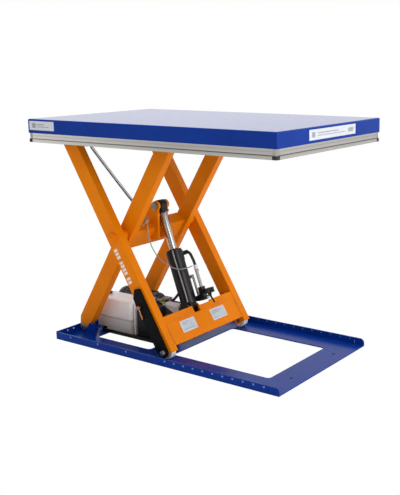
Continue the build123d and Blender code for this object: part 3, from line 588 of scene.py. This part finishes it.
def bead(name, a, b, r, mat, step=0.006, sides=8):
    """a weld bead with its ripples, from a to b"""
    n = max(int((b - a).length / step), 4)
    pts = [a.lerp(b, i / n) for i in range(n + 1)]
    fr2 = frames_along(pts)
    verts, faces = [], []
    for i, (p, (t, nn)) in enumerate(zip(pts, fr2)):
        bb = t.cross(nn)
        rr = r * (0.86 + 0.14 * math.cos(i * math.pi)) * (0.55 if i in (0, n) else 1.0)
        for k in range(sides):
            an = 2 * math.pi * k / sides
            verts.append(p + (nn * math.cos(an) + bb * math.sin(an)) * rr)
    for i in range(n):
        for k in range(sides):
            x, y = i * sides + k, i * sides + (k + 1) % sides
            faces.append((x, x + sides, y + sides, y))
    faces.append(tuple(range(sides)))
    faces.append(tuple(reversed(range(n * sides, (n + 1) * sides))))
    return mesh_obj(name, verts, faces, mat, True)


XP, YP, ZP = Vector((1, 0, 0)), Vector((0, 1, 0)), Vector((0, 0, 1))
NA = A(0, 1) - A(0, 0)
NA.normalize()
NB = (B(0, 1) - B(0, 0)).normalized()
DA = (A(1, 0) - A(0, 0)).normalized()

# press-in plugs in the row of flange holes
plugs = []
for sy in (-1, 1):
    for x in [53 + 50 * i for i in range(11)] + [-505, -335, -165]:
        plugs.append(lathe("plug", mm(x, sy * 343.5, 24.5), YP * sy, [(0, 0.0039), (0.0035, 0.0039), (0.0037, 0.0046),
                           (0.0044, 0.0044), (0.0050, 0.0030)], M["plug_blue"], 14))
put(join("flange_plugs", plugs), "base")

# rounded rolled lips on the inner top edges of the long flanges, in a lighter blue that is a painted highlight along
# the edge
ws = []
for sy in (-1, 1):
    n = 120
    lip = [mm(-592 + (600 - -592) * i / n, sy * 342.6, 32.4) for i in range(n + 1)]
    ws.append(tube_mesh("lip", lip, 0.0013, M["lip_painted_highlight"], 10))
put(join("flange_lips", ws), "base")

# weld beads of the bearing lugs on the base plate
ws = []
for y in (-171, 171):
    ws.append(bead("w", mm(-590, y, 6), mm(-524, y, 6), 0.0026, M["blue_paint"]))
for y in (-231, 231):
    ws.append(bead("w", mm(-536, y, 6), mm(-474, y, 6), 0.0026, M["blue_paint"]))
put(join("base_welds", ws), "base")

# power unit: motor terminal lid screws, earth strap, wires and pump bolts
ws = []
for y, z in ((24, 76), (76, 76), (24, 140), (76, 140)):
    ws.append(hexbolt("hb", mm(-265, y, z), XP, 0.0042, 0.0045, M["zinc"]))
put(join("pump_bolts", ws), "base")
ws = [hexbolt("hb", mm(-316, y, z), XP, 0.0045, 0.0045, M["zinc"]) for y, z in ((-112, 148), (14, 22))]
put(join("plate_bolts", ws), "base")
ws = [hexbolt("hb", mm(x, y, 146), ZP, 0.0030, 0.0030, M["zinc"]) for x in (-231, -147) for y in (-12, 28)]
put(join("terminal_lid_screws", ws), "base")
strap = nurbs_points([mm(-222, -26, 152), mm(-238, -30, 158), mm(-258, -20, 152), mm(-270, 0, 150), mm(-268, 20, 152)], 10)
put(tube_mesh("earth_wire", strap, 0.0032, M["earth"], 10), "base")
w1 = nurbs_points([mm(-240, 5, 128), mm(-256, 0, 130), mm(-262, -14, 150), mm(-264, -40, 158), mm(-262, -90, 151)], 10)
put(tube_mesh("motor_wire_a", w1, 0.0036, M["hose_rubber"], 10), "base")
w2 = nurbs_points([mm(-288, -90, 151), mm(-290, -80, 172), mm(-300, -30, 176), mm(-330, 10, 178), mm(-350, 30, 169)], 10)
put(tube_mesh("motor_wire_b", w2, 0.0036, M["hose_rubber"], 10), "base")
w3 = nurbs_points([mm(-228, -12, 146), mm(-232, -24, 160), mm(-250, -44, 164), mm(-276, -60, 152)], 10)
put(tube_mesh("motor_wire_c", w3, 0.0028, M["wire_blue"], 10), "base")
ws = [slab("rail", [mm(-302, -112.2, z), mm(-226, -112.2, z), mm(-226, -112.2, z + 1.6), mm(-302, -112.2, z + 1.6)],
           -YP, 0.0030, M["black_cap"]) for z in (30, 126)]
put(join("control_box_ribs", ws), "base")

# crossbeams: a dark bead on the fold line that is painted crease shade, weld beads and the edges of the data plates
painted_crease_shade = bead("painted_crease_shade", A(437.5, 33.4, -244), A(437.5, 33.4, -46), 0.0024, M["weld"], 0.020)
painted_crease_shade_2 = bead("painted_crease_shade", A(437.5, 33.4, 81), A(437.5, 33.4, 244), 0.0024, M["weld"], 0.020)
ws = [painted_crease_shade, painted_crease_shade_2]
for sy in (-1, 1):
    ws.append(bead("w", A(440, 35.5, sy * 244.4), A(534, 35.5, sy * 244.4), 0.0030, M["weld"]))
    ws.append(bead("w", A(438, -24, sy * 244.2), A(536, -24, sy * 244.2), 0.0026, M["weld"]))
put(join("outer_beam_welds", ws), "outer_arms")
ws = []
for sy in (-1, 1):
    ws.append(bead("w", B(-74, -20.5, sy * 173.2), B(19, -20.5, sy * 173.2), 0.0028, M["weld"]))
    ws.append(bead("w", B(-74, 38.3, sy * 173.2), B(19, 38.3, sy * 173.2), 0.0028, M["weld"]))
put(join("inner_beam_welds", ws), "inner_arms")

marks = []
for y0, w in ((-168, 100), (46, 104)):
    # pale border and a few plain bars
    for d0, d1, ya, yb in ((452, 453.6, y0 + 3, y0 + w - 3), (499.4, 501, y0 + 3, y0 + w - 3),
                           (453.6, 499.4, y0 + 3, y0 + 4.6), (453.6, 499.4, y0 + w - 4.6, y0 + w - 3)):
        marks.append(slab("b", [A(d0, 36, ya), A(d1, 36, ya), A(d1, 36, yb), A(d0, 36, yb)], NA, 0.0004, M["border"], 0.0001))
put(join("data_plate_borders", marks), "outer_arms")
marks = []
for y0, w, rows in ((-168, 100, ((458, 0.15, 0.60), (466, 0.15, 0.45), (490, 0.15, 0.80))),
                    (46, 104, ((457, 0.12, 0.55), (463, 0.12, 0.75), (469, 0.12, 0.66), (492, 0.12, 0.40)))):
    for d0, f0, f1 in rows:
        marks.append(slab("b", [A(d0, 36, y0 + w * f0), A(d0 + 2.4, 36, y0 + w * f0), A(d0 + 2.4, 36, y0 + w * f1),
                                A(d0, 36, y0 + w * f1)], NA, 0.0003, M["screen_grey"], 0.0001))
put(join("data_plate_bars", marks), "outer_arms")

# rivets at the corners of the data plates
ws = []
for y0, w in ((-168, 100), (46, 104)):
    for d in (455.5, 497.5):
        for y in (y0 + 6.5, y0 + w - 6.5):
            ws.append(lathe("rv", A(d, 36, y), NA, [(0, 0.0019), (0.0008, 0.0017), (0.0012, 0.0008)], M["zinc"], 12))
put(join("data_plate_rivets", ws), "outer_arms")

# plain painted bars down the near outer arm
marks = []
d = 50
for i, w in enumerate((13, 11, 13, 0, 10, 13, 12, 12, 0, 12, 12)):
    if w:
        marks.append(slab("m", [A(d, -28, -285), A(d + w, -28, -285), A(d + w, -7, -285), A(d, -7, -285)], -YP, 0.0003,
                          M["mark_white"], 0.0001))
    d += (w or 6) + 4.5
put(join("arm_marks", marks), "outer_arms")

# rim plates: plain bars
marks = []
for x0, x1, z0, z1 in ((-622, -600, 972, 992), (-592, -548, 985, 989), (-592, -520, 976, 979)):
    marks.append(slab("m", [mm(x0, -400, z0), mm(x1, -400, z0), mm(x1, -400, z1), mm(x0, -400, z1)], -YP, 0.0003,
                      M["screen_grey"], 0.0001))
for y0, y1, z0, z1 in ((-160, -138, 970, 990), (-118, 40, 983, 987), (-118, 96, 974, 977), (120, 160, 972, 988)):
    marks.append(slab("m", [mm(650, y0, z0), mm(650, y1, z0), mm(650, y1, z1), mm(650, y0, z1)], XP, 0.0003,
                      M["screen_grey"], 0.0001))
put(join("rim_plate_bars", marks), "platform")

# platform: hanger screws and bracket welds
ws = []
for x0 in (-480, 0, 480):
    for sg in (-1, 1):
        for x in (-8, 8):
            ws.append(hexbolt("hb", mm(x0 + x, sg * 368, 968), YP * -sg, 0.0032, 0.0034, M["zinc"]))
put(join("hanger_screws", ws), "platform")
ws = []
for sg in (-1, 1):
    for y in (229.5, 238.5, 289.5, 298.5):
        ws.append(bead("w", mm(-594, sg * y, 1003.4), mm(-528, sg * y, 1003.4), 0.0024, M["blue_paint"]))
put(join("bracket_welds", ws), "platform")

# safety frame: screws of the corner pieces
ws = []
for sx in (-1, 1):
    for sy in (-1, 1):
        ws.append(lathe("s", mm(sx * 637, sy * 398.5, 916), YP * sy, [(0, 0.0026), (0.0006, 0.0025), (0.0012, 0.0014)],
                        M["black_cap"], 14))
        ws.append(lathe("s", mm(sx * 648.5, sy * 387, 916), XP * sx, [(0, 0.0026), (0.0006, 0.0025), (0.0012, 0.0014)],
                        M["black_cap"], 14))
put(join("corner_screws", ws), "safety_frame")

# pivots: grease nipples
def nipple(name, at_p, axis):
    return lathe(name, at_p, axis, [(0, 0.0038), (0.0026, 0.0038), (0.0028, 0.0024), (0.0060, 0.0024), (0.0066, 0.0032),
                                    (0.0086, 0.0030), (0.0096, 0.0016)], M["zinc"], 14)


ws = [nipple("n", mm(MX * 1000, sg * 294, MZ * 1000), YP * sg) for sg in (-1, 1)]
for o in ws:
    o.data.materials.clear()
    o.data.materials.append(M["orange_paint"])
put(join("mid_pivot_nipples", ws), "inner_arms")
ws = [nipple("n", mm(-561.3, sg * 304, 969.7), YP * sg) for sg in (-1, 1)]
put(join("top_pivot_nipples", ws), "platform")

# prop: locking pin and its head
pin_pts = [A(326, -13, -306), A(336, -16, -306.5), A(356, -20, -305), A(378, -25, -303)]
put(tube_mesh("prop_pin", resample(nurbs_points(pin_pts, 8), 16), 0.0030, M["copper"], 12), "prop_knob")

# cylinder: a light grey strip along the barrel that is a painted highlight, and a wiper ring
highlight_line = [C(34, 26, -36), C(44, 24.5, -33), C(70, 24, -32), C(130, 23, -32), C(200, 22, -32.5), C(224, 22, -34), C(262, 22, -34),
         C(272, 22, -33), C(279, 20, -30)]
put(tube_mesh("barrel_highlight_strip", resample(nurbs_points(highlight_line, 8), 60), 0.0030, M["wire_and_painted_highlight"], 12), "cylinder_barrel")
# polished rod with its fine turned finish
rod_prof = [(0, 0.0168), (0.0004, 0.0170)] + [(0.004 * k, 0.0170) for k in range(1, 55)] + [(0.2214, 0.0170), (0.2218, 0.0168)]
rod = lathe("rod_polished", C(235, 0), U, rod_prof, M["chrome"], 96)
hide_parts("piston_rod")
put(rod, "cylinder_rod")
# black foot shroud in front of the near lug
sh = slab("foot_shroud", [C(-8, -20, -37), C(34, -24, -37), C(34, 24, -37), C(-4, 26, -37)], -YP, 0.0022, M["black_paint"], 0.0008)
put(sh, "cylinder_barrel")
wip = lathe("rod_wiper", C(280, 0), U, [(0, 0.0215), (0.0020, 0.0215), (0.0034, 0.0190), (0.0036, 0.0173)], M["hose_rubber"], 36)
put(wip, "cylinder_barrel")

# valve block: coil nut, connector screw and a tee knob
put(hexbolt("coil_nut", C(57, 112, 52), V, 0.0065, 0.0050, M["valve_metal"]), "cylinder_barrel")
tee = lathe("tee_knob", C(30, 62, 52), V, [(0, 0.0040), (0.010, 0.0040), (0.011, 0.0085), (0.016, 0.0090), (0.018, 0.0070)],
            M["zinc"], 20)
put(tee, "cylinder_barrel")
con = slab("coil_connector", [C(47, 86, 39), C(67, 86, 39), C(67, 108, 39), C(47, 108, 39)], -YP, 0.010, M["black_cap"], 0.002)
put(con, "cylinder_barrel")
fer = lathe("line_fitting", C(166, 56, 51), U, [(0, 0.0096), (0.003, 0.0102), (0.008, 0.0102), (0.010, 0.0094), (0.012, 0.0094),
                                            (0.014, 0.0102), (0.018, 0.0100), (0.020, 0.0080)], M["white_plate"], 24)
put(fer, "cylinder_barrel")

# ------------------------------------------------------------------ floor and light
def floor_material():
    """a light studio floor that the lens sees as plain white"""
    m = bpy.data.materials.new("floor")
    m.use_nodes = True
    nt = m.node_tree
    for n in list(nt.nodes):
        nt.nodes.remove(n)
    out = nt.nodes.new("ShaderNodeOutputMaterial")
    mix = nt.nodes.new("ShaderNodeMixShader")
    lp = nt.nodes.new("ShaderNodeLightPath")
    em = nt.nodes.new("ShaderNodeEmission")
    em.inputs["Color"].default_value = (1, 1, 1, 1)
    em.inputs["Strength"].default_value = 1.0
    di = nt.nodes.new("ShaderNodeBsdfDiffuse")
    no = noise(nt, 0.6)
    rp = ramp(nt, no.outputs["Fac"], [(0.3, (0.86, 0.86, 0.87)), (0.7, (0.90, 0.90, 0.90))])
    nt.links.new(rp.outputs["Color"], di.inputs["Color"])
    nt.links.new(lp.outputs["Is Camera Ray"], mix.inputs["Fac"])
    nt.links.new(di.outputs[0], mix.inputs[1])
    nt.links.new(em.outputs[0], mix.inputs[2])
    nt.links.new(mix.outputs[0], out.inputs[0])
    return m


fl = mesh_obj("floor", [(-30, -30, -0.0005), (30, -30, -0.0005), (30, 30, -0.0005), (-30, 30, -0.0005)], [(0, 1, 2, 3)],
              floor_material())

# the room is white behind the table and to its right, and dim in front of it
world = bpy.data.worlds.new("studio")
bpy.context.scene.world = world
world.use_nodes = True
wt = world.node_tree
bg = wt.nodes["Background"]
wtc = wt.nodes.new("ShaderNodeTexCoord")
wsep = wt.nodes.new("ShaderNodeSeparateXYZ")
wt.links.new(wtc.outputs["Generated"], wsep.inputs[0])
wmr = wt.nodes.new("ShaderNodeMapRange")
wmr.inputs["From Min"].default_value = -0.75
wmr.inputs["From Max"].default_value = 0.15
wmr.inputs["To Min"].default_value = 0.40
wmr.inputs["To Max"].default_value = 1.0
wt.links.new(wsep.outputs["Y"], wmr.inputs["Value"])
wlp = wt.nodes.new("ShaderNodeLightPath")
wmx = wt.nodes.new("ShaderNodeMath"); wmx.operation = "MAXIMUM"
wt.links.new(wmr.outputs["Result"], wmx.inputs[0])
wt.links.new(wlp.outputs["Is Camera Ray"], wmx.inputs[1])
bg.inputs[0].default_value = (1.0, 1.0, 1.0, 1)
wt.links.new(wmx.outputs[0], bg.inputs[1])
bpy.context.scene.view_settings.view_transform = "Standard"
bpy.context.scene.view_settings.look = "None"


def area(name, loc, target, size, power, size_y=None):
    li = bpy.data.lights.new(name, "AREA")
    li.shape = "RECTANGLE"
    li.size = size
    li.size_y = size_y or size
    li.energy = power
    ob = bpy.data.objects.new(name, li)
    bpy.context.scene.collection.objects.link(ob)
    ob.location = loc
    ob.rotation_euler = (Vector(target) - Vector(loc)).to_track_quat("-Z", "Y").to_euler()
    return ob


area("key", (3.9, -0.5, 1.25), (-0.1, 0, 0.6), 2.2, 50, 1.5)
area("top", (0.2, 0.2, 4.0), (0, 0, 0), 3.0, 36)
area("front", (-0.6, -4.0, 1.8), (0, 0, 0.5), 2.5, 14)
